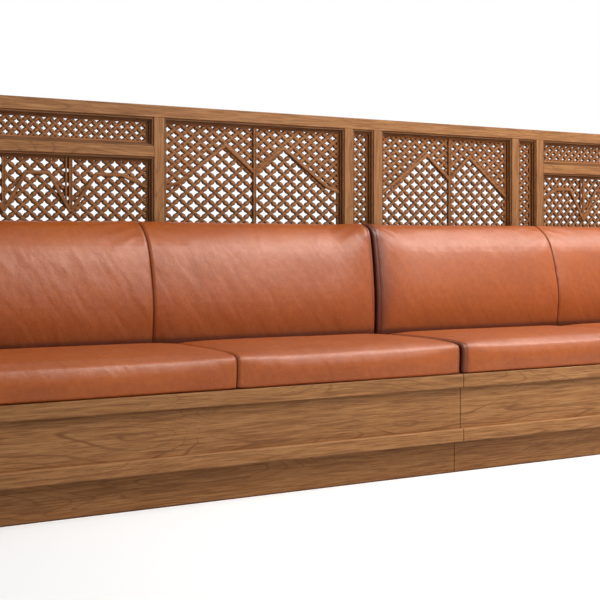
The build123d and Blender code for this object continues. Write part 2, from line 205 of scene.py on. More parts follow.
def addLamp(name, values):
    bpy.ops.object.light_add(type="AREA", location=values["place"])
    lamp = bpy.context.object
    lamp.name = name + "Lamp"
    lamp.data.shape = "RECTANGLE"
    lamp.data.size, lamp.data.size_y = values["size"]
    lamp.data.energy = values["power"]
    lamp.data.color = studio["lampTint"]
    lamp.visible_camera = False
    lamp.visible_diffuse = name != "sheen"  # the sheen lamp shows in reflections alone
    way = Vector(values["aim"]) - Vector(values["place"])
    lamp.rotation_euler = way.to_track_quat("-Z", "Y").to_euler()


def addWorld():
    world = bpy.data.worlds.new("studioWorld")
    scene.world = world
    world.use_nodes = True
    tree = world.node_tree
    tree.nodes.clear()
    output = tree.nodes.new("ShaderNodeOutputWorld")
    seen = tree.nodes.new("ShaderNodeBackground")
    light = tree.nodes.new("ShaderNodeBackground")
    blend = tree.nodes.new("ShaderNodeMixShader")
    fixed(seen, {"Color": (1, 1, 1, 1), "Strength": 1.0})
    fixed(light, {"Color": studio["worldTint"], "Strength": studio["worldLight"]})
    tree.links.new(directRays(tree), blend.inputs["Fac"])
    tree.links.new(light.outputs["Background"], blend.inputs[1])
    tree.links.new(seen.outputs["Background"], blend.inputs[2])
    tree.links.new(blend.outputs["Shader"], output.inputs["Surface"])


def directRays(tree):
    # 1 for camera, glossy and transmission rays
    rays = tree.nodes.new("ShaderNodeLightPath").outputs
    seen = sums(tree, "MAXIMUM", rays["Is Camera Ray"], rays["Is Glossy Ray"])
    return sums(tree, "MAXIMUM", seen, rays["Is Transmission Ray"])


def addFloor():
    clearSelection()
    bpy.ops.mesh.primitive_plane_add(size=studio["floorSize"])
    floor = named("studioFloor")
    paint, tree, shader = newFinish("floorPaper")
    tone = studio["floorTone"]
    fixed(shader, {"Base Color": (tone, tone, tone, 1), "Roughness": 0.9, "Specular IOR Level": 0.0,
                   "Emission Color": (1, 1, 1, 1)})
    glow = sums(tree, "MULTIPLY", directRays(tree), studio["floorGlow"])
    tree.links.new(glow, shader.inputs["Emission Strength"])
    painted(floor, paint)


scene.view_settings.view_transform = "Standard"
clearSelection()
addCamera()
addWorld()
for lampName, lampValues in lamps.items():
    addLamp(lampName, lampValues)
addFloor()
print("camera, floor and lamps are set")


# timber and leather

timber = {
    "pale": (0.415, 0.201, 0.077),
    "mid": (0.314, 0.138, 0.048),
    "dark": (0.194, 0.077, 0.025),
    "pore": (0.080, 0.030, 0.011),
    "toneStops": (0.46, 0.65, 0.84),
    "toneShares": (0.85, 0.34, 0.13),  # of fibres, streaks and broad change
    "figureScale": (1.2, 8.0, 8.0),
    "figureLines": 112.0,
    "figureStops": ((0.0, 1.0), (0.08, 0.5), (0.26, 0.0)),
    "figureShare": 0.62,
    "patchShift": (5, 3, 2),
    "patchStops": ((0.40, 0.0), (0.54, 1.0)),
    "fibreScale": (9.0, 250.0, 250.0),
    "streakScale": (3.0, 75.0, 75.0),
    "broadScale": (0.9, 5.0, 5.0),
    "broadShift": (3, 1, 2),
    "tickScale": (7.0, 170.0, 170.0),
    "tickShift": (4, 1, 7),
    "tickStops": ((0.33, 1.0), (0.41, 0.0)),
    "tickShare": 0.6,
    "poreScale": (32.0, 560.0, 560.0),
    "poreStops": ((0.30, 1.0), (0.39, 0.0)),
    "poreShare": 0.5,
    "recessShadeStops": ((0.05, 0.0), (0.2, 0.36), (0.34, 1.0), (0.80, 1.0), (0.93, 0.0)),
    "contactShadowStops": ((0.7, 0.92), (1.0, 0.0)),
    # band, stops and tint of a painted highlight along an edge
    "edgeHighlightBand": 0.004,
    "edgeHighlightStops": ((0.5, 0.0), (0.8, 0.4)),
    "edgeHighlightTint": 1.15,
    "gloss": ((0.3, 0.6), (0.7, 0.45)),
    "specular": 0.18,
    "bumpDepth": 0.0005,
}
hide = {
    "pale": (0.415, 0.093, 0.0075),
    "mid": (0.348, 0.072, 0.0053),
    "deep": (0.278, 0.053, 0.0036),
    # dark tone of the painted shade at seams, where back meets seat and in the gaps
    "paintedShadeTone": (0.085, 0.012, 0.0005),
    "toneStops": (0.36, 0.5, 0.64),
    "toneShares": (0.32, 0.36, 0.32),  # of mottle, fine grain and flecks
    "toneScales": (4.5, 210.0, 48.0),
    "gloss": ((0.35, 0.48), (0.65, 0.36)),
    "specular": 0.42,
    "pebbleScale": 430.0,
    "pebbleDepth": 0.00035,
    "creaseScale": 130.0,
    "creaseDepth": 0.0008,
    "foldTurn": 30.0,
    "foldScale": (24.0, 18.0, 8.0),
    "foldDepth": 0.006,
}


def linear(colour):
    return (*colour, 1)


def placed(tree, shift=(0, 0, 0), scale=(1, 1, 1), turn=(0, 0, 0), source=None):
    mapping = tree.nodes.new("ShaderNodeMapping")
    fixed(mapping, {"Location": shift, "Rotation": turn, "Scale": scale})
    if source is None:
        source = tree.nodes.new("ShaderNodeTexCoord").outputs["Object"]
    tree.links.new(source, mapping.inputs["Vector"])
    return mapping.outputs["Vector"]


def cloudy(tree, vector, scale=1.0, detail=3.0, rough=0.5, twist=0.0):
    texture = tree.nodes.new("ShaderNodeTexNoise")
    fixed(texture, {"Scale": scale, "Detail": detail, "Roughness": rough, "Distortion": twist})
    tree.links.new(vector, texture.inputs["Vector"])
    return texture.outputs["Fac"]


def ramp(tree, value, stops):
    node = tree.nodes.new("ShaderNodeValToRGB")
    elements = node.color_ramp.elements
    while len(elements) < len(stops):
        elements.new(0.5)
    for element, (place, colour) in zip(elements, stops):
        element.position = place
        element.color = linear(colour) if isinstance(colour, tuple) else (colour, colour, colour, 1)
    tree.links.new(value, node.inputs["Fac"])
    return node.outputs["Color"]


def mixed(tree, share, first, second, kind="MIX"):
    node = tree.nodes.new("ShaderNodeMix")
    node.data_type = "RGBA"
    node.blend_type = kind
    for place, value in ((0, share), (6, first), (7, second)):
        if isinstance(value, (int, float)):
            node.inputs[place].default_value = value
        elif isinstance(value, tuple):
            node.inputs[place].default_value = linear(value)
        else:
            tree.links.new(value, node.inputs[place])
    return node.outputs[2]


def bumped(tree, height, depth, strength, below=None):
    node = tree.nodes.new("ShaderNodeBump")
    fixed(node, {"Distance": depth, "Strength": strength})
    tree.links.new(height, node.inputs["Height"])
    if below is not None:
        tree.links.new(below, node.inputs["Normal"])
    return node.outputs["Normal"]


def weighted(tree, values, shares):
    # the sum of the values, each times its share
    parts = [sums(tree, "MULTIPLY", value, share) for value, share in zip(values, shares)]
    total = parts[0]
    for part in parts[1:]:
        total = sums(tree, "ADD", total, part)
    return total


def finished(tree, shader, colour, gloss, normal):
    tree.links.new(colour, shader.inputs["Base Color"])
    if isinstance(gloss, float):
        shader.inputs["Roughness"].default_value = gloss
    else:
        tree.links.new(gloss, shader.inputs["Roughness"])
    tree.links.new(normal, shader.inputs["Normal"])


def timberFinish(name, shift, upright=False, shade=(1, 1, 1), figure=1.0,
                 recessShade=None, foot=None, edgeHighlight=None):
    # oak-like grain along X, or along Z when upright; optional marks paint the timber darker from a Y
    # inward (painted shade in hollows), a dark line along the floor (painted contact shadow), and a pale
    # line at an edge's height (painted highlight)
    finish, tree, shader = newFinish(name)
    turn = (0, math.radians(90), 0) if upright else (0, 0, 0)
    along = placed(tree, shift, turn=turn)

    def grain(key, detail, rough, twist=0.0, start=(0, 0, 0)):
        return cloudy(tree, placed(tree, start, timber[key], source=along), 1.0, detail, rough, twist)

    hills = grain("figureScale", 1.5, 0.4, 0.25)
    rings = sums(tree, "SINE", sums(tree, "MULTIPLY", hills, timber["figureLines"]), 0)
    lines = ramp(tree, sums(tree, "ADD", rings, 1.0), timber["figureStops"])
    patches = grain("figureScale", 1, 0.3, 0.0, timber["patchShift"])
    lines = sums(tree, "MULTIPLY", lines, ramp(tree, patches, timber["patchStops"]))
    lines = sums(tree, "MULTIPLY", lines, timber["figureShare"] * figure)
    fibres = grain("fibreScale", 3, 0.6)
    streaks = grain("streakScale", 2, 0.5)
    broad = grain("broadScale", 2, 0.5, 0.0, timber["broadShift"])
    ticks = ramp(tree, grain("tickScale", 1, 0.4, 0.0, timber["tickShift"]), timber["tickStops"])
    pores = ramp(tree, grain("poreScale", 2, 0.5), timber["poreStops"])
    blend = weighted(tree, (fibres, streaks, broad), timber["toneShares"])
    dark, mid, pale, pore = [tuple(channel * share for channel, share in zip(timber[key], shade))
                             for key in ("dark", "mid", "pale", "pore")]
    colour = ramp(tree, blend, list(zip(timber["toneStops"], (dark, mid, pale))))
    colour = mixed(tree, lines, colour, dark)
    colour = mixed(tree, sums(tree, "MULTIPLY", ticks, timber["tickShare"]), colour, dark)
    colour = mixed(tree, sums(tree, "MULTIPLY", pores, timber["poreShare"]), colour, pore)
    place = tree.nodes.new("ShaderNodeSeparateXYZ")
    tree.links.new(placed(tree), place.inputs[0])
    depth, height = place.outputs["Y"], place.outputs["Z"]
    # painted shade: the timber is painted darker from the given Y inward, where shade falls in the hollows
    if recessShade is not None:
        start, reach, recessShadeTone = recessShade
        inward = sums(tree, "MULTIPLY", sums(tree, "SUBTRACT", depth, start), 1 / reach)
        recessShaded = mixed(tree, 1.0, colour, recessShadeTone, "MULTIPLY")
        colour = mixed(tree, ramp(tree, inward, timber["recessShadeStops"]), colour, recessShaded)
    # painted contact shadow: a dark line painted along the bottom, where the piece meets the floor
    if foot is not None:
        line = ramp(tree, sums(tree, "MULTIPLY", height, 1 / foot), timber["contactShadowStops"])
        colour = mixed(tree, line, colour, pore)
    # painted highlight: a pale line painted along an edge at the given height, where light catches it
    if edgeHighlight is not None:
        edge = sums(tree, "SUBTRACT", height, edgeHighlight - timber["edgeHighlightBand"])
        edge = sums(tree, "MULTIPLY", edge, 1 / timber["edgeHighlightBand"])
        highlit = tuple(channel * timber["edgeHighlightTint"] for channel in timber["pale"])
        colour = mixed(tree, ramp(tree, edge, timber["edgeHighlightStops"]), colour, highlit)
    shader.inputs["Specular IOR Level"].default_value = timber["specular"]
    relief = sums(tree, "SUBTRACT", sums(tree, "MULTIPLY", fibres, 0.6), pores)
    finished(tree, shader, colour, ramp(tree, fibres, timber["gloss"]),
             bumped(tree, relief, timber["bumpDepth"], 0.5))
    return finish


def plyFinish():
    finish, tree, shader = newFinish("birchPly")
    along = placed(tree, (0.3, 0.1, 0))
    layers = cloudy(tree, placed(tree, scale=(2, 3, 420), source=along), 1.0, 2, 0.4)
    fibres = cloudy(tree, placed(tree, scale=(6, 150, 150), source=along), 1.0, 3, 0.6)
    blend = weighted(tree, (layers, fibres), (0.4, 0.6))
    colour = ramp(tree, blend, [(0.35, (0.42, 0.26, 0.13)), (0.65, (0.62, 0.43, 0.25))])
    finished(tree, shader, colour, 0.62, bumped(tree, fibres, 0.0004, 0.4))
    return finish


def steelFinish():
    finish, tree, shader = newFinish("zincSteel")
    spots = cloudy(tree, placed(tree), 180.0, 3, 0.6)
    colour = ramp(tree, spots, [(0.35, (0.34, 0.35, 0.36)), (0.65, (0.55, 0.56, 0.57))])
    shader.inputs["Metallic"].default_value = 1.0
    finished(tree, shader, colour, ramp(tree, spots, [(0.3, 0.30), (0.7, 0.46)]),
             bumped(tree, spots, 0.0002, 0.3))
    return finish


def leatherFinish(name, shift):
    # tan hide: pebbled grain, slow mottling, soft slanting folds, and painted shade at seams, where the
    # back meets the seat and in gaps, as the point attribute says
    finish, tree, shader = newFinish(name)
    place = placed(tree, shift)
    scales = hide["toneScales"]
    mottle = cloudy(tree, place, scales[0], 3, 0.55, 0.3)
    fine = cloudy(tree, place, scales[1], 3, 0.6)
    flecks = cloudy(tree, place, scales[2], 3, 0.6)
    tone = weighted(tree, (mottle, fine, flecks), hide["toneShares"])
    colour = ramp(tree, tone, list(zip(hide["toneStops"], (hide["deep"], hide["mid"], hide["pale"]))))
    # painted shade: the colour is mixed towards the dark tone by the per-point shade attribute set in sewn
    seam = tree.nodes.new("ShaderNodeAttribute")
    seam.attribute_name = "paintedShade"
    colour = mixed(tree, seam.outputs["Fac"], colour, hide["paintedShadeTone"])
    pebbles = tree.nodes.new("ShaderNodeTexVoronoi")
    pebbles.feature = "SMOOTH_F1"
    fixed(pebbles, {"Scale": hide["pebbleScale"], "Smoothness": 0.6})
    tree.links.new(place, pebbles.inputs["Vector"])
    slanted = placed(tree, shift, turn=(0, math.radians(hide["foldTurn"]), 0))
    folds = cloudy(tree, placed(tree, scale=hide["foldScale"], source=slanted), 1.0, 1.5, 0.4, 0.3)
    shader.inputs["Specular IOR Level"].default_value = hide["specular"]
    waves = bumped(tree, folds, hide["foldDepth"], 0.5)
    creases = cloudy(tree, place, hide["creaseScale"], 3, 0.6)
    creased = bumped(tree, creases, hide["creaseDepth"], 0.5, waves)
    grain = bumped(tree, pebbles.outputs["Distance"], hide["pebbleDepth"], 0.55, creased)
    finished(tree, shader, colour, ramp(tree, tone, hide["gloss"]), grain)
    return finish


def threadFinish():
    finish, tree, shader = newFinish("waxedThread")
    twist = cloudy(tree, placed(tree), 900.0, 2, 0.5)
    colour = ramp(tree, twist, [(0.35, (0.10, 0.028, 0.010)), (0.65, (0.20, 0.060, 0.022))])
    finished(tree, shader, colour, 0.6, bumped(tree, twist, 0.0002, 0.5))
    return finish


# the lattice timber is painted darker inward from its face: painted shade on the hole walls
latticeWood = timberFinish("latticeTimber", (0.4, 0.2, 0.7), shade=(1.08, 0.93, 0.78), figure=0.3,
                           recessShade=(0.360, 0.012, (0.045, 0.026, 0.018)))
# the trim timber is painted darker towards its back: painted shade on the strips' sides
trimWood = timberFinish("trimTimber", (1.4, 0.2, 0.1), shade=(0.84, 0.74, 0.64), figure=0.3,
                        recessShade=(0.3542, 0.0078, (0.30, 0.20, 0.15)))
leatherSkins = {side: leatherFinish("tanHide_" + side, (k * 1.7, 0.4, k * 0.9))
                for k, side in enumerate(("left", "right"))}
thread = threadFinish()
print("timber and leather are mixed")


# carved lattice: one open tile per grid, laid side by side, then cut to its field

tileShape = {
    "steps": (0.0, 0.2, 0.36, 0.5, 0.64, 0.8, 1.0),
    "crest": (0.6, 1.9, 0.6, 0.0, 0.6, 1.9, 0.6),
    "shoulder": (1.8, 3.0, 1.7, 1.0, 1.7, 3.0, 1.8),
    "lip": 4.4,
    "backLip": 11.2,
    "depth": 12.0,
    "pinch": (1.0, 0.90, 0.80, 0.74, 0.80, 0.90, 1.0),
}
grids = {
    "fine": {"pitch": (38.2, 37.5), "hole": (0.49, 0.49)},
    "wideLow": {"pitch": (58.4, 50.6), "hole": (0.70, 0.70)},
    "wideHigh": {"pitch": (52.0, 42.5), "hole": (0.51, 0.52)},
    "eastLow": {"pitch": (54.8, 50.6), "hole": (0.71, 0.70)},
    "eastHigh": {"pitch": (49.0, 42.0), "hole": (0.48, 0.49)},
    "narrow": {"pitch": (40.0, 40.0), "hole": (0.56, 0.54)},
    "slim": {"pitch": (39.0, 40.0), "hole": (0.52, 0.50)},
    "west": {"pitch": (51.5, 49.0), "hole": (0.63, 0.63)},
    "far": {"pitch": (43.0, 48.8), "hole": (0.64, 0.60)},
}
screenSizes = {
    "faceY": 360.0,
    "openingFoot": 845.0,
    "openingTop": 1251.0,
    "stripFoot": 1146.0,
    "lowTop": 1108.0,
    "border": 19.0,
    "easeMargin": 15.0,
    "easing": 1.2,
    "ribWidth": 9.0,
    "ribFaces": (360.4, 371.6),
    "postFaces": (360.3, 371.7),
    "postSpare": 3.0,
    "tileSpare": 0.6,
    "weld": 0.2,
}
bays = {
    "west": (-1790.0, -841.7),
    "wide": (-801.7, -29.3),
    "narrow": (10.7, 108.7),
    "east": (148.7, 824.6),
    "slim": (864.6, 963.6),
    "far": (1003.6, 1790.0),
}
mullions = {"wide": -420.6, "east": 504.5}
gables = {
    "wide": ((0.0, 0.546), (0.34, 0.815), (0.864, 0.421), (1.0, 0.372)),
    "east": ((0.0, 0.546), (0.345, 0.815), (0.965, 0.395), (1.0, 0.372)),
}


def orderedRing(piece):
    # the selected points by their angle round the tile, from its right tip
    edit = bmesh.from_edit_mesh(piece.data)
    points = [v for v in edit.verts if v.select]
    points.sort(key=lambda v: math.atan2(v.co.z, v.co.x) % (2 * math.pi - 1e-4))
    return [v.index for v in points]


def placeRing(piece, ring, shares, half, heights):
    # brings the points of one ring to their shares of the half diagonals, step by step
    steps = tileShape["steps"]
    for step, (share, height) in enumerate(zip(shares, heights)):
        chosen = {ring[k] for k in range(24) if (k % 6 if k // 6 % 2 == 0 else 6 - k % 6) == step}
        selectPoints(piece, chosen)
        edit = bmesh.from_edit_mesh(piece.data)
        edit.verts.ensure_lookup_table()
        first = edit.verts[min(chosen)].co
        old = (abs(first.x), first.y, abs(first.z))
        across = (1 - steps[step]) * share[0] * half[0]
        rise = steps[step] * share[1] * half[1]
        wider = across / old[0] if old[0] > 1e-6 else 1
        taller = rise / old[2] if old[2] > 1e-6 else 1
        y = (screenSizes["faceY"] + height) * mm
        bpy.ops.transform.resize(value=(wider, 1, taller), center_override=(0, old[1], 0))
        bpy.ops.transform.translate(value=(0, y - old[1], 0))


def makeTile(name, grid):
    # a diamond of four half bars round one star-shaped hole, open along the bars' middle lines
    half = [side / 2 * mm for side in grid["pitch"]]
    wide, high = grid["hole"]
    clearSelection()
    bpy.ops.mesh.primitive_circle_add(vertices=24, radius=1, rotation=(math.radians(90), 0, 0))
    tile = named(name + "Tile")
    editAll()
    star = [(wide * pinch, high * pinch) for pinch in tileShape["pinch"]]
    middle = [(0.5 + across / 2, 0.5 + rise / 2) for across, rise in star]
    rim = [(1, 1)] * 7
    rounds = [(rim, tileShape["crest"]), (middle, tileShape["shoulder"]), (star, [tileShape["lip"]] * 7),
              (star, [tileShape["backLip"]] * 7), (rim, [tileShape["depth"]] * 7)]
    for turn, (shares, heights) in enumerate(rounds):
        if turn:
            bpy.ops.mesh.extrude_edges_move()
        ring = orderedRing(tile)
        placeRing(tile, ring, shares, half, heights)
        selectPoints(tile, set(ring))
    endEdit()
    return tile


def regionBlock(outline):
    # an upright block over the outline, for cutting a sheet of lattice to its field
    clearSelection()
    (x, z), rest = outline[0], outline[1:]
    depth = tileShape["depth"]
    bpy.ops.mesh.primitive_plane_add(size=1, rotation=(math.radians(90), 0, 0))
    block = named("fieldBlock")
    editAll()
    bpy.ops.mesh.merge(type="CENTER")
    bpy.ops.transform.translate(value=(x * mm, (screenSizes["faceY"] - depth / 2) * mm, z * mm))
    for nextX, nextZ in rest:
        way = ((nextX - x) * mm, 0, (nextZ - z) * mm)
        bpy.ops.mesh.extrude_vertices_move(TRANSFORM_OT_translate={"value": way})
        x, z = nextX, nextZ
    selectAll()
    bpy.ops.mesh.edge_face_add()
    bpy.ops.mesh.extrude_region_move(TRANSFORM_OT_translate={"value": (0, 2 * depth * mm, 0)})
    closed()
    return block


def latticeSheet(name, tile, grid, hole, outline):
    # the tile and its half-step neighbour, repeated over the outline's reach and cut to it
    pitch = [side * mm for side in grid["pitch"]]
    spare, face = screenSizes["tileSpare"], screenSizes["faceY"]
    starts, counts = [], []
    for side, place, spots in zip(grid["pitch"], hole, zip(*outline)):
        starts.append(place - math.ceil((place - min(spots)) / side + spare) * side)
        counts.append(math.ceil((max(spots) - starts[-1]) / side + spare))
    first, second = copied(tile), copied(tile)
    for part, share in ((first, 0.0), (second, 0.5)):
        activate(part)
        part.location = (starts[0] * mm + share * pitch[0], 0, starts[1] * mm + share * pitch[1])
        bpy.ops.object.transform_apply(location=True, rotation=True, scale=True)
    sheet = joined([first, second], name)
    for count, step in ((counts[0], (pitch[0], 0, 0)), (counts[1], (0, 0, pitch[1]))):
        modified(sheet, "ARRAY", {"use_relative_offset": False, "use_constant_offset": True,
                                  "constant_offset_displace": step, "count": count})
    editAll()
    bpy.ops.mesh.remove_doubles(threshold=screenSizes["weld"] * mm)
    front = (face + tileShape["depth"] / 2) * mm
    pick(sheet, "EDGE", lambda middle, edge: edge.is_boundary and middle.y < front)
    bpy.ops.mesh.extrude_edges_move(TRANSFORM_OT_translate={"value": (0, 4 * mm, 0)})
    edit = bmesh.from_edit_mesh(sheet.data)
    for vert in edit.verts:
        if vert.select:
            vert.co.y = (face + tileShape["depth"]) * mm
    bmesh.update_edit_mesh(sheet.data)
    selectAll()
    bpy.ops.mesh.remove_doubles(threshold=screenSizes["weld"] * mm)
    closed()
    block = regionBlock(outline)
    modified(sheet, "BOOLEAN", {"operation": "INTERSECT", "object": block, "solver": "EXACT"})
    bpy.data.objects.remove(block, do_unlink=True)
    return sheet


def latticeBorder(name, left, right, foot, top):
    # the plain frame of a lattice, with its inner front edge eased
    y, depth = screenSizes["faceY"], tileShape["depth"]
    centre = ((left + right) / 2 * mm, (y + depth / 2) * mm, (foot + top) / 2 * mm)
    bpy.ops.mesh.primitive_cube_add(size=1, location=centre,
                                    scale=((right - left) * mm, depth * mm, (top - foot) * mm))
    frameWork = named(name + "Border")
    pick(frameWork, "FACE", lambda middle, face: abs(face.normal.y) > 0.9)
    bpy.ops.mesh.inset(thickness=screenSizes["border"] * mm, use_individual=True)
    bpy.ops.mesh.bridge_edge_loops()
    endEdit()
    margin = screenSizes["easeMargin"]
    pick(frameWork, "EDGE", lambda middle, edge: middle.y < (y + 1) * mm
         and left + margin < middle.x / mm < right - margin
         and foot + margin < middle.z / mm < top - margin)
    bpy.ops.mesh.bevel(offset=screenSizes["easing"] * mm, segments=2)
    endEdit()
    return frameWork


def fieldOf(bay, foot, top):
    left, right = bays[bay]
    edge = screenSizes["border"]
    return left + edge, right - edge, foot + edge, top - edge


def plainLattice(node, bay, gridName, holeFromLeft, foot, top):
    left, right, low, high = fieldOf(bay, foot, top)
    hole = (left + holeFromLeft[0], screenSizes["openingTop"] - holeFromLeft[1])
    outline = [(left, low), (right, low), (right, high), (left, high)]
    sheet = latticeSheet(node + "Sheet", tiles[gridName], grids[gridName], hole, outline)
    return finishWork([sheet, latticeBorder(node, *bays[bay], foot, top)], node, "_carved", latticeWood, 40)


def finishWork(parts, node, ending, wood, angle):
    # joined into one piece that stands for its node
    piece = joined(parts, node + ending)
    painted(piece, wood)
    smoothed(piece, angle)
    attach(piece, "frame")
    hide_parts(node)
    return piece


def gableLine(bay, hand):
    left, right, low, high = fieldOf(bay, screenSizes["openingFoot"], screenSizes["openingTop"])
    middle = mullions[bay]
    edge = right if hand > 0 else left
    return [(middle + x * (edge - middle), low + z * (high - low)) for x, z in gables[bay]]


def gabledLattice(node, bay, lowGrid, lowHole, highGrid, highHole):
    # two leaves, mirrored about the mullion, each with open work under its gable and close work over it
    foot, top = screenSizes["openingFoot"], screenSizes["openingTop"]
    left, right, low, high = fieldOf(bay, foot, top)
    middle, width, spare = mullions[bay], screenSizes["ribWidth"], screenSizes["postSpare"]
    parts = [latticeBorder(node, *bays[bay], foot, top)]
    for hand, edge in ((-1, left), (1, right)):
        line = gableLine(bay, hand)
        under = [(middle, low), *line, (edge, low)]
        above = [(middle, high), *line, (edge, high)]
        for gridName, (across, drop), outline in ((lowGrid, lowHole, under), (highGrid, highHole, above)):
            hole = (middle + hand * across, top - drop)
            parts.append(latticeSheet(f"{node}Leaf", tiles[gridName], grids[gridName], hole, outline))
        parts.append(flatStrip(line, width, *screenSizes["ribFaces"]))
    post = [(middle, low - spare), (middle, high + spare)]
    parts.append(flatStrip(post, width, *screenSizes["postFaces"]))
    return finishWork(parts, node, "_carved", latticeWood, 40)


def stripEdges(points, width):
    # left and right points of a mitred band
    ways = [(Vector(b) - Vector(a)).normalized() for a, b in zip(points, points[1:])]
    normals = [Vector((-way.y, way.x)) for way in ways]
    sides = [normals[0]]
    for before, after in zip(normals, normals[1:]):
        bisector = (before + after).normalized()
        sides.append(bisector / bisector.dot(after))
    sides.append(normals[-1])
    return [(Vector(p) + s * width / 2, Vector(p) - s * width / 2) for p, s in zip(points, sides)]


def flatStrip(points, width, front, back, profile=()):
    # a band that runs from point to point; profile is (inset, push) steps pressed into its face
    pairs = stripEdges(points, width)
    clearSelection()
    bpy.ops.mesh.primitive_plane_add(size=1, rotation=(math.radians(90), 0, 0))
    strip = named("strip")
    editAll()
    edit = bmesh.from_edit_mesh(strip.data)
    corners = sorted(edit.verts, key=lambda v: (round(v.co.x, 4), round(v.co.z, 4)))
    for vert, spot in zip(corners, (pairs[0][1], pairs[0][0], pairs[1][1], pairs[1][0])):
        vert.co = (spot.x * mm, back * mm, spot.y * mm)
    selectPoints(strip, (corners[2].index, corners[3].index))
    for (_, old), (left, right) in zip(pairs[1:], pairs[2:]):
        bpy.ops.mesh.extrude_edges_move()
        edit = bmesh.from_edit_mesh(strip.data)
        fresh = [v for v in edit.verts if v.select]
        fresh.sort(key=lambda v: (v.co.x / mm - old.x) ** 2 + (v.co.z / mm - old.y) ** 2)
        fresh[0].co = (right.x * mm, back * mm, right.y * mm)
        fresh[1].co = (left.x * mm, back * mm, left.y * mm)
        bmesh.update_edit_mesh(strip.data)
    bpy.ops.mesh.select_mode(type="FACE")
    selectAll()
    bpy.ops.mesh.extrude_region_move(TRANSFORM_OT_translate={"value": (0, (front - back) * mm, 0)})
    for inset, push in profile:
        bpy.ops.mesh.inset(thickness=inset * mm)
        bpy.ops.transform.translate(value=(0, push * mm, 0))
    closed()
    return strip


tiles = {name: makeTile(name, grid) for name, grid in grids.items()}
openFoot, openTop = screenSizes["openingFoot"], screenSizes["openingTop"]
stripFoot, lowTop = screenSizes["stripFoot"], screenSizes["lowTop"]
plainLattice("lattice_west_strip", "west", "fine", (35.2, 57.0), stripFoot, openTop)
plainLattice("lattice_west", "west", "west", (45.0, 298.0), openFoot, lowTop)
gabledLattice("lattice_wide", "wide", "wideLow", (45.0, 291.0), "wideHigh", (43.0, 38.0))
plainLattice("lattice_narrow", "narrow", "narrow", (33.5, 97.0), openFoot, openTop)
gabledLattice("lattice_east", "east", "eastLow", (35.5, 287.0), "eastHigh", (25.0, 55.0))
plainLattice("lattice_slim", "slim", "slim", (21.9, 170.0), openFoot, openTop)
plainLattice("lattice_far", "far", "far", (22.6, 285.0), openFoot, lowTop)
plainLattice("lattice_far_strip", "far", "fine", (28.3, 57.0), stripFoot, openTop)
for tile in tiles.values():
    bpy.data.objects.remove(tile, do_unlink=True)
print("lattices are carved")


# raised trim on the lattices

trimShape = {
    "front": 354.0,
    "back": 360.0,
    "width": 13.0,
    "twinWidth": 6.0,
    "twinGap": 7.0,
    "moulding": 13.0,
    "nudge": 4.0,
    "gableDrop": 0.25,
    "stagger": 0.12,
    "twinDrop": 0.1,
    "gableProfile": ((1.2, -0.9), (2.6, -0.6)),
    "mullionProfile": ((1.2, -0.9), (2.9, 1.5)),
    "twinProfile": ((1.1, -0.9),),
    "westMullions": (0.314, 0.573, 0.832),
    "farMullions": (0.317, 0.636),
    "lightFoot": 0.18,
    "lightEdge": 0.6,
    "lightTop": 0.78,
    "lightShares": (0.33, 0.67),
}


def trimStrip(points, kind, drop=0.0):
    # a strip of the named profile, its face the drop behind the trim's front
    profile = trimShape[kind]
    width = trimShape["twinWidth" if kind == "twinProfile" else "width"]
    lift = sum(push for inset, push in profile if push < 0)
    return flatStrip(points, width, trimShape["front"] - lift + drop, trimShape["back"], profile)


def gableTrim(node, bay):
    middle, reach, nudge = mullions[bay], trimShape["moulding"], trimShape["nudge"]
    left, right = bays[bay][0] + reach, bays[bay][1] - reach
    parts = [trimStrip([(middle, openFoot + reach), (middle, openTop - reach)], "mullionProfile")]
    for hand, edge in ((-1, left), (1, right)):
        (x, z), second, *rest = gableLine(bay, hand)
        first = (x + hand * nudge, z + nudge * (second[1] - z) / abs(second[0] - x))
        run = [first, second, *rest]
        parts.append(trimStrip([*run, (edge, run[-1][1])], "gableProfile", trimShape["gableDrop"]))
    return finishWork(parts, node, "_moulded", trimWood, 25)


def windowTrim(node, bay, shares, hand):
    # lights between twin mullions, with flat tops and feet that stand on the mullions
    left, right, low, high = fieldOf(bay, openFoot, lowTop)
    near, away = (left, right) if hand > 0 else (right, left)
    posts = [near + share * (away - near) for share in shares]
    foot, edge, flat = [low + trimShape["light" + key] * (high - low) for key in ("Foot", "Edge", "Top")]
    width, gap = trimShape["width"], trimShape["twinGap"]
    places = [near, *posts, away]
    top = lowTop - trimShape["moulding"]
    parts = []
    for k, (start, end) in enumerate(zip(places, places[1:])):
        first = edge if k == 0 else foot
        last = edge if k == len(places) - 2 else foot
        tops = [(start + share * (end - start), flat) for share in trimShape["lightShares"]]
        drop = trimShape["gableDrop"] + trimShape["stagger"] * (k % 2)
        parts.append(trimStrip([(start, first), *tops, (end, last)], "gableProfile", drop))
    for x in posts:
        parts.append(trimStrip([(x, foot), (x, top)], "mullionProfile"))
        twin = x - width / 2 - gap - trimShape["twinWidth"] / 2
        start = foot + width + gap
        parts.append(trimStrip([(twin, start), (twin, top)], "twinProfile", trimShape["twinDrop"]))
    return finishWork(parts, node, "_moulded", trimWood, 25)


gableTrim("trim_wide", "wide")
gableTrim("trim_east", "east")
windowTrim("trim_west", "west", trimShape["westMullions"], -1)
windowTrim("trim_far", "far", trimShape["farMullions"], 1)
print("trim is laid on")


# cushions

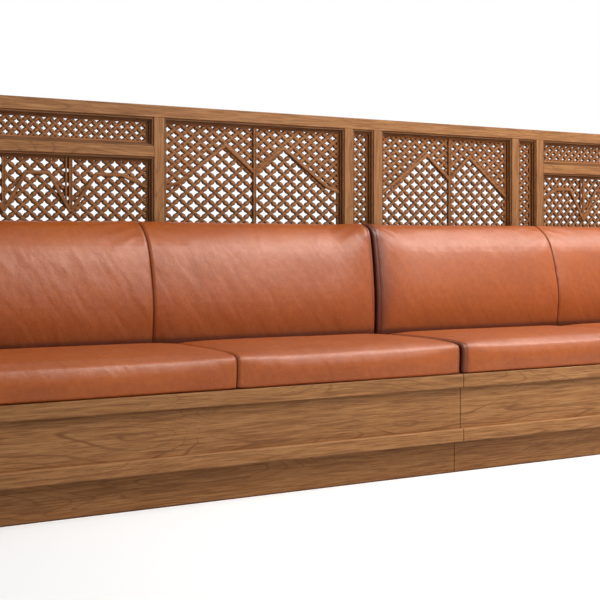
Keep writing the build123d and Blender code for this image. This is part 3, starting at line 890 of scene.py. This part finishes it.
cushionGap = 3.0
cushionLength = 1827.0
seatShape = {
    "foot": 345.5,
    "back": 133.0,
    "front": -383.0,
    "footRadius": 11.0,
    "outline": ((-383.0, 370.0), (-386.0, 392.0), (-386.5, 416.0), (-385.0, 437.0), (-379.5, 450.0),
                (-367.0, 458.0), (-345.0, 462.0), (-300.0, 464.5), (-235.0, 466.0), (-150.0, 466.5),
                (-50.0, 465.5), (50.0, 463.5), (103.0, 460.5), (125.0, 452.0), (133.0, 430.0)),
    "endDraw": ((0.0, 22.0), (4.0, 13.0), (10.0, 7.5), (20.0, 3.6), (34.0, 1.4), (60.0, 0.0)),
    "endWeights": {"front": 1.0, "top": 0.7, "foot": 0.3, "back": 0.3},
    "endReach": 60.0,
    "seam": 866.0,
    "heldFrom": -400.0,
    "heldTop": 352.0,
    "seed": 1,
}
backShape = {
    "belly": 139.0,
    "back": 319.5,
    "foot": 345.5,
    "top": 872.0,
    "backEdge": 8.0,
    "outline": ((0.18, 0.0), (0.10, 0.1), (0.045, 0.22), (0.0, 0.446), (0.11, 0.655), (0.27, 0.829),
                (0.49, 0.932), (0.82, 1.0), (0.95, 0.985), (1.0, 0.955)),
    "endOutline": ((0.15, 0.0), (0.07, 0.1), (0.02, 0.22), (0.01, 0.446), (0.06, 0.655), (0.13, 0.829),
                   (0.23, 0.942), (0.55, 1.0), (0.92, 0.985), (1.0, 0.955)),
    "endDraw": ((0.0, 22.0), (3.0, 13.0), (8.0, 9.0), (18.0, 5.4), (32.0, 2.6), (55.0, 0.9), (80.0, 0.0)),
    "endWeights": {"front": 1.0, "top": 0.5, "foot": 0.2, "back": 0.15},
    "endReach": 170.0,
    "seam": 921.0,
    "heldFrom": 311.0,
    "heldTop": 820.0,
    "seed": 2,
}
coverShape = {
    "nearSteps": (1, 5, 11, 19, 30, 45, 65, 90, 125, 170),
    "seamSteps": (-30, -12, -4, 0, 4, 12, 30),
    "plainRings": 8,
    "plainFromEnd": 230,
    "plainFromSeam": 60,
    "slack": 3.5,
    "endHold": 45.0,
    "endGrip": 12.0,
    "seamGrip": 11.0,
    "leastGrip": 0.05,
    "cap": 9.0,
    "voxel": 10.0,
    "steps": 20,
    "evenings": 5,
    "evenShare": 0.6,
}
coverCloth = {
    "quality": 4,
    "mass": 0.25,
    "tension_stiffness": 18,
    "compression_stiffness": 12,
    "shear_stiffness": 6,
    "bending_stiffness": 2.0,
    "use_pressure": True,
    "uniform_pressure_force": 4.0,
    "vertex_group_mass": "held",
}
seamDraw = ((0.0, 4.0), (4.0, 2.4), (12.0, 0.8), (45.0, 0.0))


def arc(centre, radius, start, end, count):
    return [(centre[0] + radius * math.cos(math.radians(start + (end - start) * k / count)),
             centre[1] + radius * math.sin(math.radians(start + (end - start) * k / count)))
            for k in range(count + 1)]


def curved(given):
    # a smooth line through the given points, four steps from one to the next
    given = [Vector(point) for point in given]
    line = []
    for k in range(len(given) - 1):
        before = given[k - 1] if k else given[k] * 2 - given[k + 1]
        after = given[k + 2] if k + 2 < len(given) else given[k + 1] * 2 - given[k]
        for step in range(4):
            share = step / 4
            a, b = given[k], given[k + 1]
            spot = 0.5 * (2 * a + (b - before) * share + (2 * before - 5 * a + 4 * b - after) * share ** 2
                          + (3 * a - before - 3 * b + after) * share ** 3)
            line.append((spot.x, spot.y))
    return line + [tuple(given[-1])]


def seatOutline():
    # clockwise from the foot of the front, seen from the right end
    values = seatShape
    foot = values["footRadius"]
    outline = arc((values["front"] + foot, values["foot"] + foot), foot, 270, 180, 4)
    outline += curved(values["outline"])
    return outline + arc((values["back"] - foot, values["foot"] + foot), foot, 0, -90, 4)


def backOutline(shares):
    values = backShape
    wide, high, edge = values["back"] - values["belly"], values["top"] - values["foot"], values["backEdge"]
    outline = curved([(values["belly"] + y * wide, values["foot"] + z * high) for y, z in shares])
    return outline + [(values["back"], values["foot"] + edge), (values["back"] - edge, values["foot"])]


def drawnIn(distance, table):
    return float(numpy.interp(distance, *zip(*table)))


def slackAt(away):
    # how much smaller than its finished shape the cover starts, none where its ends are held
    return coverShape["slack"] * numpy.clip(away / coverShape["endHold"], 0, 1)


def ringPlaces(values):
    # where the rings of a cover stand along it, close together at both ends and at the seam
    near, far, seam = cushionGap, cushionLength, values["seam"]
    fromEnd, fromSeam = coverShape["plainFromEnd"], coverShape["plainFromSeam"]
    places = [near + step for step in coverShape["nearSteps"]]
    places += list(numpy.linspace(near + fromEnd, seam - fromSeam, coverShape["plainRings"]))
    places += [seam + step for step in coverShape["seamSteps"]]
    places += list(numpy.linspace(seam + fromSeam, far - fromEnd, coverShape["plainRings"]))
    return places + [far - step for step in reversed(coverShape["nearSteps"])]


def blankCushion(name, outlines, values):
    # rings from end to end of a left cushion that turn from the middle outline to the end one, drawn in at
    # both ends and at the seam, all a little slack
    full = [Vector(spot) for spot in outlines[0]]
    middle = sum(full, Vector((0, 0))) / len(full)
    weights = values["endWeights"]
    mesh = bmesh.new()
    rings = []
    count = len(full)
    for x in ringPlaces(values):
        away = min(x - cushionGap, cushionLength - x)
        share = max(1 - away / values["endReach"], 0)
        share = share * share * (3 - 2 * share)
        outline = [here.lerp(Vector(there), share) for here, there in zip(full, outlines[1])]
        ending = drawnIn(away, values["endDraw"])
        sewing = drawnIn(abs(x - values["seam"]), seamDraw) + slackAt(away)
        ring = []
        for k in range(count):
            way = (outline[(k + 1) % count] - outline[k - 1]).normalized()
            inward = Vector((way.y, -way.x))
            if inward.dot(middle - outline[k]) < 0:
                inward = -inward
            weight = (inward.x ** 2 * weights["front" if inward.x > 0 else "back"]
                      + inward.y ** 2 * weights["foot" if inward.y > 0 else "top"])
            spot = outline[k] + inward * (sewing + ending * weight)
            ring.append(mesh.verts.new((-x * mm, spot.x * mm, spot.y * mm)))
        rings.append(ring)
    for first, second in zip(rings, rings[1:]):
        for k in range(count):
            mesh.faces.new((first[k], first[(k + 1) % count], second[(k + 1) % count], second[k]))
    mesh.faces.new(rings[0])
    mesh.faces.new(rings[-1])
    bmesh.ops.recalc_face_normals(mesh, faces=mesh.faces)
    data = bpy.data.meshes.new(name)
    mesh.to_mesh(data)
    mesh.free()
    return shown(data)


def shown(data):
    # a piece of this mesh's name, added to the scene
    piece = bpy.data.objects.new(data.name, data)
    scene.collection.objects.link(piece)
    return piece


def pointValues(data, kind):
    flat = numpy.empty(len(data.vertices) * 3, numpy.float32)
    data.vertices.foreach_get(kind, flat)
    return flat.reshape(-1, 3).astype(float)


def points(piece):
    return pointValues(piece.data, "co")


def normals(piece):
    return pointValues(piece.data, "normal")


def edgeEnds(piece):
    flat = numpy.empty(len(piece.data.edges) * 2, numpy.int32)
    piece.data.edges.foreach_get("vertices", flat)
    return flat.reshape(-1, 2)


def fromEnds(spots):
    # how far each point stands along the wall, and from the nearer end of its cushion, in millimetres
    along = numpy.abs(spots[:, 0]) / mm
    return along, numpy.minimum(along - cushionGap, cushionLength - along)


def setPoints(piece, spots):
    piece.data.vertices.foreach_set("co", spots.astype(numpy.float32).ravel())
    piece.data.update()


def evened(piece, moved):
    # each move becomes the mean of its own and its neighbours', so that sharp gathers go soft
    first, second = edgeEnds(piece).T
    count, share = len(moved), coverShape["evenShare"]
    mates = numpy.bincount(first, minlength=count) + numpy.bincount(second, minlength=count)
    for _ in range(coverShape["evenings"]):
        around = [numpy.bincount(first, moved[second, axis], count)
                  + numpy.bincount(second, moved[first, axis], count) for axis in range(3)]
        moved = (1 - share) * moved + share * numpy.stack(around, 1) / mates[:, None]
    return moved


def puffed(piece, values):
    # the cover swells against its seams and the board it rests on, and no point moves past the cap
    start = points(piece)
    held = piece.vertex_groups.new(name=coverCloth["vertex_group_mass"])
    along, away = fromEnds(start)
    grip = numpy.exp(-((along - values["seam"]) / coverShape["seamGrip"]) ** 2)
    ends = 1 - numpy.clip((away - coverShape["endGrip"]) / coverShape["endHold"], 0, 1)
    grip = numpy.maximum(numpy.maximum(grip, ends), rested(start, values))
    for index, weight in enumerate(grip):
        if weight > coverShape["leastGrip"]:
            held.add([index], float(min(weight, 1.0)), "REPLACE")
    activate(piece)
    cloth = piece.modifiers.new("cover", "CLOTH")
    for name, value in coverCloth.items():
        setattr(cloth.settings, name, value)
    cloth.settings.effector_weights.gravity = 0
    cloth.collision_settings.use_collision = False
    for step in range(coverShape["steps"]):
        scene.frame_set(step + 1)
    swollen = piece.evaluated_get(bpy.context.evaluated_depsgraph_get())
    moved = evened(piece, pointValues(swollen.data, "co") - start)
    far = numpy.linalg.norm(moved, axis=1, keepdims=True)
    cap = coverShape["cap"] * mm
    moved *= numpy.where(far > 1e-9, cap * numpy.tanh(far / cap) / numpy.maximum(far, 1e-9), 1)
    piece.modifiers.remove(cloth)
    scene.frame_set(1)
    piece.vertex_groups.clear()
    setPoints(piece, start + moved)
    print(piece.name, "swelled by up to", round(float(far.max()) / mm, 1), "mm")


def fitted(piece, outline):
    # back to its own length, depth and height after the swelling
    spots = points(piece)
    ys, zs = zip(*outline)
    reach = ((-cushionLength, -cushionGap), (min(ys), max(ys)), (min(zs), max(zs)))
    for axis, (low, high) in enumerate(reach):
        least, most = spots[:, axis].min(), spots[:, axis].max()
        spots[:, axis] = (low + (spots[:, axis] - least) / (most - least) * (high - low)) * mm
    setPoints(piece, spots)


def remeshed(piece):
    activate(piece)
    piece.data.remesh_voxel_size = coverShape["voxel"] * mm
    piece.data.use_remesh_preserve_volume = True
    bpy.ops.object.voxel_remesh()


def subdivided(piece):
    modified(piece, "SUBSURF", {"levels": 1, "render_levels": 1})


def rested(spots, values):
    # 1 where a cushion rests on its board, 0 elsewhere
    behind = spots[:, 1] > values["heldFrom"] * mm
    return (behind & (spots[:, 2] < values["heldTop"] * mm)).astype(float)


def seated(spots, kind, values):
    # flat where it rests on its board, and clear of the cushion beside it
    hand = numpy.sign(spots[:, 0])
    spots[:, 0] = hand * numpy.clip(numpy.abs(spots[:, 0]), cushionGap * mm, cushionLength * mm)
    spots[:, 2] = numpy.maximum(spots[:, 2], values["foot"] * mm)
    if kind == "back":
        spots[:, 1] = numpy.minimum(spots[:, 1], values["back"] * mm)
    return spots


seamShape = {
    "endInset": 15.0,
    "endShare": 0.45,
    "loops": (-11.0, -8.0, -6.2, -4.6, -3.2, -1.7, 0.0, 1.7, 3.2, 4.6, 6.2, 8.0, 11.0),
    "depths": ((0.0, 5.2), (1.7, 3.4), (3.2, 1.8), (4.6, 0.9), (6.2, 0.8), (8.0, 0.0), (11.0, -0.6),
               (20.0, 0.0)),
    # darkening beside a seam and its stitch rows: partly a dark joint, partly painted shade in the channel
    "shades": ((0.0, 0.95), (1.6, 0.72), (3.2, 0.26), (4.8, 0.08), (6.2, 0.26), (8.0, 0.0)),
    # painted shade on the back, darker towards where it meets the seat, by height
    "paintedCreviceShade": ((463.0, 0.97), (467.0, 0.66), (476.0, 0.40), (500.0, 0.24), (550.0, 0.10), (620.0, 0.0)),
    "creviceFacing": (1.6, 0.3),
    # painted shade between two cushions, fading with distance from the joint
    "paintedGapShade": ((0.0, 0.98), (10.0, 0.93), (20.0, 0.78), (36.0, 0.46), (58.0, 0.18), (95.0, 0.0)),
    # how far the painted shade reaches on each cushion; widest on the right back, whose end turns from the
    # light
    "gapReach": {"seat_left": 0.2, "seat_right": 0.42, "back_left": 0.25, "back_right": 1.15},
}
stitchShape = {
    "rowGap": 6.2,
    "pitch": 7.5,
    "length": 5.4,
    "radius": 0.55,
    "lift": 0.2,
    "shoulder": 0.28,
    "tip": 0.45,
    "crossTurn": 38.0,
    "crossSize": 1.5,
    "crossLift": 0.9,
    "lowest": 0.350,
    "deepest": 0.317,
    "onRow": 2e-5,
}
wrinkleShape = {
    "slow": 1.1,
    "slowStretch": (1.0, 1.4, 0.8),
    "slowReach": 0.16,
    "slant": 0.55,
    "slantAcross": 0.87,
    "slantUp": 0.5,
    "slantLong": 3,
    "slantReach": 0.034,
    "slantFoot": 0.58,
    "slantRise": 0.12,
    "slantLeast": 0.15,
    "slantOnSeat": 0.3,
    "pucker": 0.3,
    "puckerLong": 0.6,
    "puckerReach": 0.020,
    "puckerFade": 0.030,
}


def seamPlaces(values):
    # the sewn seam and the box seams near both ends, as distances from the joint
    inset = seamShape["endInset"]
    return [values["seam"], cushionGap + inset, cushionLength - inset]


def softNoise(spots, seed):
    # smooth noise between -1 and 1, the same for the same seed
    table = numpy.random.default_rng(seed).uniform(-1, 1, (24, 24, 24))
    cell = numpy.floor(spots).astype(int)
    share = spots - cell
    share = share * share * (3 - 2 * share)
    total = numpy.zeros(len(spots))
    for corner in numpy.ndindex(2, 2, 2):
        weight = numpy.ones(len(spots))
        for axis in range(3):
            weight *= share[:, axis] if corner[axis] else 1 - share[:, axis]
        place = (cell + corner) % 24
        total += weight * table[place[:, 0], place[:, 1], place[:, 2]]
    return total


def wrinkled(piece, kind, values, seed):
    # slow unevenness all over, slanting folds high on a back, and puckers that run into the seams
    spots = points(piece)
    x, y, z = spots.T
    shape = wrinkleShape
    slow = spots * shape["slowStretch"] / shape["slowReach"]
    move = shape["slow"] * softNoise(slow, seed)
    across, up = shape["slantAcross"], shape["slantUp"]
    slope = numpy.stack((across * x + up * z, y, (up * x - across * z) / shape["slantLong"]), 1)
    strength = shape["slantOnSeat"]
    if kind == "back":
        strength = numpy.clip((z - shape["slantFoot"]) / shape["slantRise"], shape["slantLeast"], 1)
    move += shape["slant"] * strength * softNoise(slope / shape["slantReach"], seed + 10)
    near = numpy.min([abs(abs(x) / mm - place) for place in seamPlaces(values)], axis=0) * mm
    fold = softNoise(numpy.stack((x * shape["puckerLong"], y, z), 1) / shape["puckerReach"], seed + 20)
    move += shape["pucker"] * fold * numpy.exp(-(near / shape["puckerFade"]) ** 2)
    setPoints(piece, spots + normals(piece) * (move * mm)[:, None])


def looped(piece, values):
    # extra loops of edges beside each seam of a left cushion
    activate(piece)
    editAll("FACE")
    for place in seamPlaces(values):
        for loop in seamShape["loops"]:
            selectAll()
            bpy.ops.mesh.bisect(plane_co=(-(place + loop) * mm, 0, 0), plane_no=(1, 0, 0))
    endEdit()


def sewn(piece, kind, side, values):
    # the cover is pressed in to a narrow channel along each seam; the seam line is darkened, partly a dark
    # joint, partly painted shade in the channel
    spots, out = points(piece), normals(piece)
    shade = numpy.zeros(len(spots))
    endShare = seamShape["endShare"]
    square = out * (0, 1, 1)
    square /= numpy.maximum(numpy.linalg.norm(square, axis=1, keepdims=True), 1e-3)
    for place, share, way in zip(seamPlaces(values), (1, endShare, endShare), (square, out, out)):
        away = numpy.abs(numpy.abs(spots[:, 0]) / mm - place)
        spots = spots - way * (share * numpy.interp(away, *zip(*seamShape["depths"])) * mm)[:, None]
        # dark seam line, partly painted shade in the pressed-in channel
        shade = numpy.maximum(shade, share * numpy.interp(away, *zip(*seamShape["shades"])))
    # painted shade where the back meets the seat, and painted shade in the gap between two cushions
    if kind == "back":
        steep, least = seamShape["creviceFacing"]
        creviceShade = numpy.interp(spots[:, 2] / mm, *zip(*seamShape["paintedCreviceShade"]))
        shade = numpy.maximum(shade, creviceShade * numpy.clip(-steep * out[:, 1] - least, 0, 1))
    # painted shade in the gap between cushions
    deep = (numpy.abs(spots[:, 0]) / mm - cushionGap) / seamShape["gapReach"][f"{kind}_{side}"]
    shade = numpy.maximum(shade, numpy.interp(deep, *zip(*seamShape["paintedGapShade"])))
    setPoints(piece, spots)
    layer = piece.data.attributes.new("paintedShade", "FLOAT", "POINT")
    layer.data.foreach_set("value", shade.astype(numpy.float32))


def rowPaths(piece, places):
    # points and normals, in order, of the loops of edges at some places along the cushion
    spots, out = points(piece), normals(piece)
    ends = edgeEnds(piece)
    paths = []
    for x in places:
        onRow = numpy.abs(spots[:, 0] - x) < stitchShape["onRow"]
        mates = {}
        for first, second in ends[onRow[ends[:, 0]] & onRow[ends[:, 1]]]:
            mates.setdefault(int(first), []).append(int(second))
            mates.setdefault(int(second), []).append(int(first))
        here = max(mates, key=lambda index: spots[index, 2], default=None)
        order, seen = [], set()
        while here is not None:
            order.append(here)
            seen.add(here)
            here = next((mate for mate in mates[here] if mate not in seen), None)
        paths.append([(Vector(spots[index]), Vector(out[index])) for index in order])
    return paths


def makeCover(kind, outlines, values):
    cover = blankCushion(kind + "Cover", outlines, values)
    remeshed(cover)
    puffed(cover, values)
    fitted(cover, outlines[0])
    subdivided(cover)
    looped(cover, values)
    return cover


seatCover = makeCover("seat", (seatOutline(), seatOutline()), seatShape)
backOutlines = [backOutline(backShape[key]) for key in ("outline", "endOutline")]
backCover = makeCover("back", backOutlines, backShape)
print("cushion covers are filled")


def modelStitch():
    # one short thread, thick in its middle and sunk at both ends
    clearSelection()
    radius, length, tip = stitchShape["radius"] * mm, stitchShape["length"] * mm, stitchShape["tip"]
    bpy.ops.mesh.primitive_cylinder_add(vertices=6, radius=radius, depth=length,
                                        rotation=(0, math.radians(90), 0))
    stitch = named("stitch")
    editAll()
    for share in (-stitchShape["shoulder"], stitchShape["shoulder"]):
        bpy.ops.mesh.bisect(plane_co=(share * length, 0, 0), plane_no=(1, 0, 0))
        selectAll()
    pick(stitch, "VERT", lambda place, vert: abs(place.x) > length * tip)
    bpy.ops.transform.resize(value=(1, tip, tip), center_override=(0, 0, 0))
    bpy.ops.transform.translate(value=(0, 0, -radius))
    endEdit()
    return stitch


def stitchesAlong(path, shape, rise, kind):
    # copies of one stitch along a path, left out where the cushion rests on its board
    pitch = stitchShape["pitch"] * mm
    copies, travelled, due = [], 0.0, 0.0
    for (here, up), (there, nextUp) in zip(path, path[1:]):
        step = (there - here).length
        while due < travelled + step:
            share = (due - travelled) / max(step, 1e-9)
            spot = here.lerp(there, share)
            due += pitch
            if spot.z < stitchShape["lowest"] or (kind == "back" and spot.y > stitchShape["deepest"]):
                continue
            way = (there - here).normalized()
            lift = up.lerp(nextUp, share).normalized()
            lift = (lift - way * lift.dot(way)).normalized()
            turn = numpy.array((way, lift.cross(way), lift))
            copies.append(shape @ turn + numpy.array(spot + lift * rise * mm))
        travelled += step
    return copies


def stitchRows(kind, side, piece, values):
    # threads in two rows beside every seam, and slanting ones across the middle seam
    hand = 1 if side == "right" else -1
    gap = stitchShape["rowGap"]
    places = [hand * (place + step) * mm for place in seamPlaces(values) for step in (-gap, gap)]
    places.append(hand * values["seam"] * mm)
    model = points(stitchModel)
    slant = math.radians(stitchShape["crossTurn"])
    turn = numpy.array(((math.cos(slant), math.sin(slant), 0),
                        (-math.sin(slant), math.cos(slant), 0), (0, 0, 1)))
    crossed = model @ turn * stitchShape["crossSize"]
    *beside, middle = rowPaths(piece, places)
    copies = []
    for path in beside:
        copies += stitchesAlong(path, model, stitchShape["lift"], kind)
    copies += stitchesAlong(middle, crossed, stitchShape["crossLift"], kind)
    outlines = [tuple(face.vertices) for face in stitchModel.data.polygons]
    faces = [tuple(index + k * len(model) for index in outline)
             for k in range(len(copies)) for outline in outlines]
    data = bpy.data.meshes.new(f"{kind}_{side}_stitches")
    data.from_pydata(numpy.concatenate(copies).tolist(), [], faces)
    threads = shown(data)
    painted(threads, thread)
    smoothed(threads, 50)
    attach(threads, f"{kind}_{side}")
    print(data.name, len(data.polygons), "faces")


def dressCushion(kind, cover, side):
    values = seatShape if kind == "seat" else backShape
    piece = copied(cover)
    piece.name = piece.data.name = f"{kind}_cushion_{side}_leather"
    if side == "right":
        activate(piece)
        editAll()
        bpy.ops.transform.resize(value=(-1, 1, 1), center_override=(0, 0, 0))
        closed()
    wrinkled(piece, kind, values, values["seed"] + (4 if side == "right" else 0))
    sewn(piece, kind, side, values)
    setPoints(piece, seated(points(piece), kind, values))
    painted(piece, leatherSkins[side])
    smoothed(piece, 75)
    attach(piece, f"{kind}_{side}")
    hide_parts(f"{kind}_cushion_{side}")
    stitchRows(kind, side, piece, values)
    print(piece.name, len(piece.data.polygons), "faces")


stitchModel = modelStitch()
for side in ("left", "right"):
    dressCushion("seat", seatCover, side)
    dressCushion("back", backCover, side)
for cover in (seatCover, backCover, stitchModel):
    bpy.data.objects.remove(cover, do_unlink=True)
print("cushions are dressed")


# finishes on the parts that stay as built

railWood = timberFinish("railTimber", (0.0, 0.3, 0.0))
finishes = {
    ("joint_bolts", "screen_screws"): steelFinish(),
    ("seat_board", "back_board", "seat_deck", "carcass_back"): plyFinish(),
    "front_panel": timberFinish("panelTimber", (0.9, 0.7, 0.35), figure=1.5),
    # the plinth's dark line along the floor is a painted contact shadow
    "plinth": timberFinish("plinthTimber", (2.2, 0.5, 0.8), shade=(0.95, 0.93, 0.90), foot=0.0045),
    # the lower rail's pale top edge is a painted highlight
    "lower_rail": timberFinish("lowerRailTimber", (0.5, 0.8, 0.6), edgeHighlight=0.157),
    # the moulding timber is painted darker than the rest: painted shade for the openings' shaded sides
    "moulding": timberFinish("mouldingTimber", (1.1, 0.9, 0.2), shade=(0.55, 0.50, 0.44), figure=0.3),
    ("screen_stiles", "screen_back_panels"): timberFinish("stileTimber", (0.2, 0.0, 1.1), upright=True),
    ("end_panel", "joint_panel", "seat_bearers"): timberFinish("endTimber", (0.6, 2.1, 1.4), upright=True),
    ("cushion_batten", "wall_batten"): timberFinish("battenTimber", (3.2, 0.1, 0.6)),
}


def finishFor(name):
    return next((finish for starts, finish in finishes.items() if name.startswith(starts)), railWood)


for name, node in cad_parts.items():
    for slot in node.material_slots:
        slot.material = finishFor(name)
print("built parts have their finish")
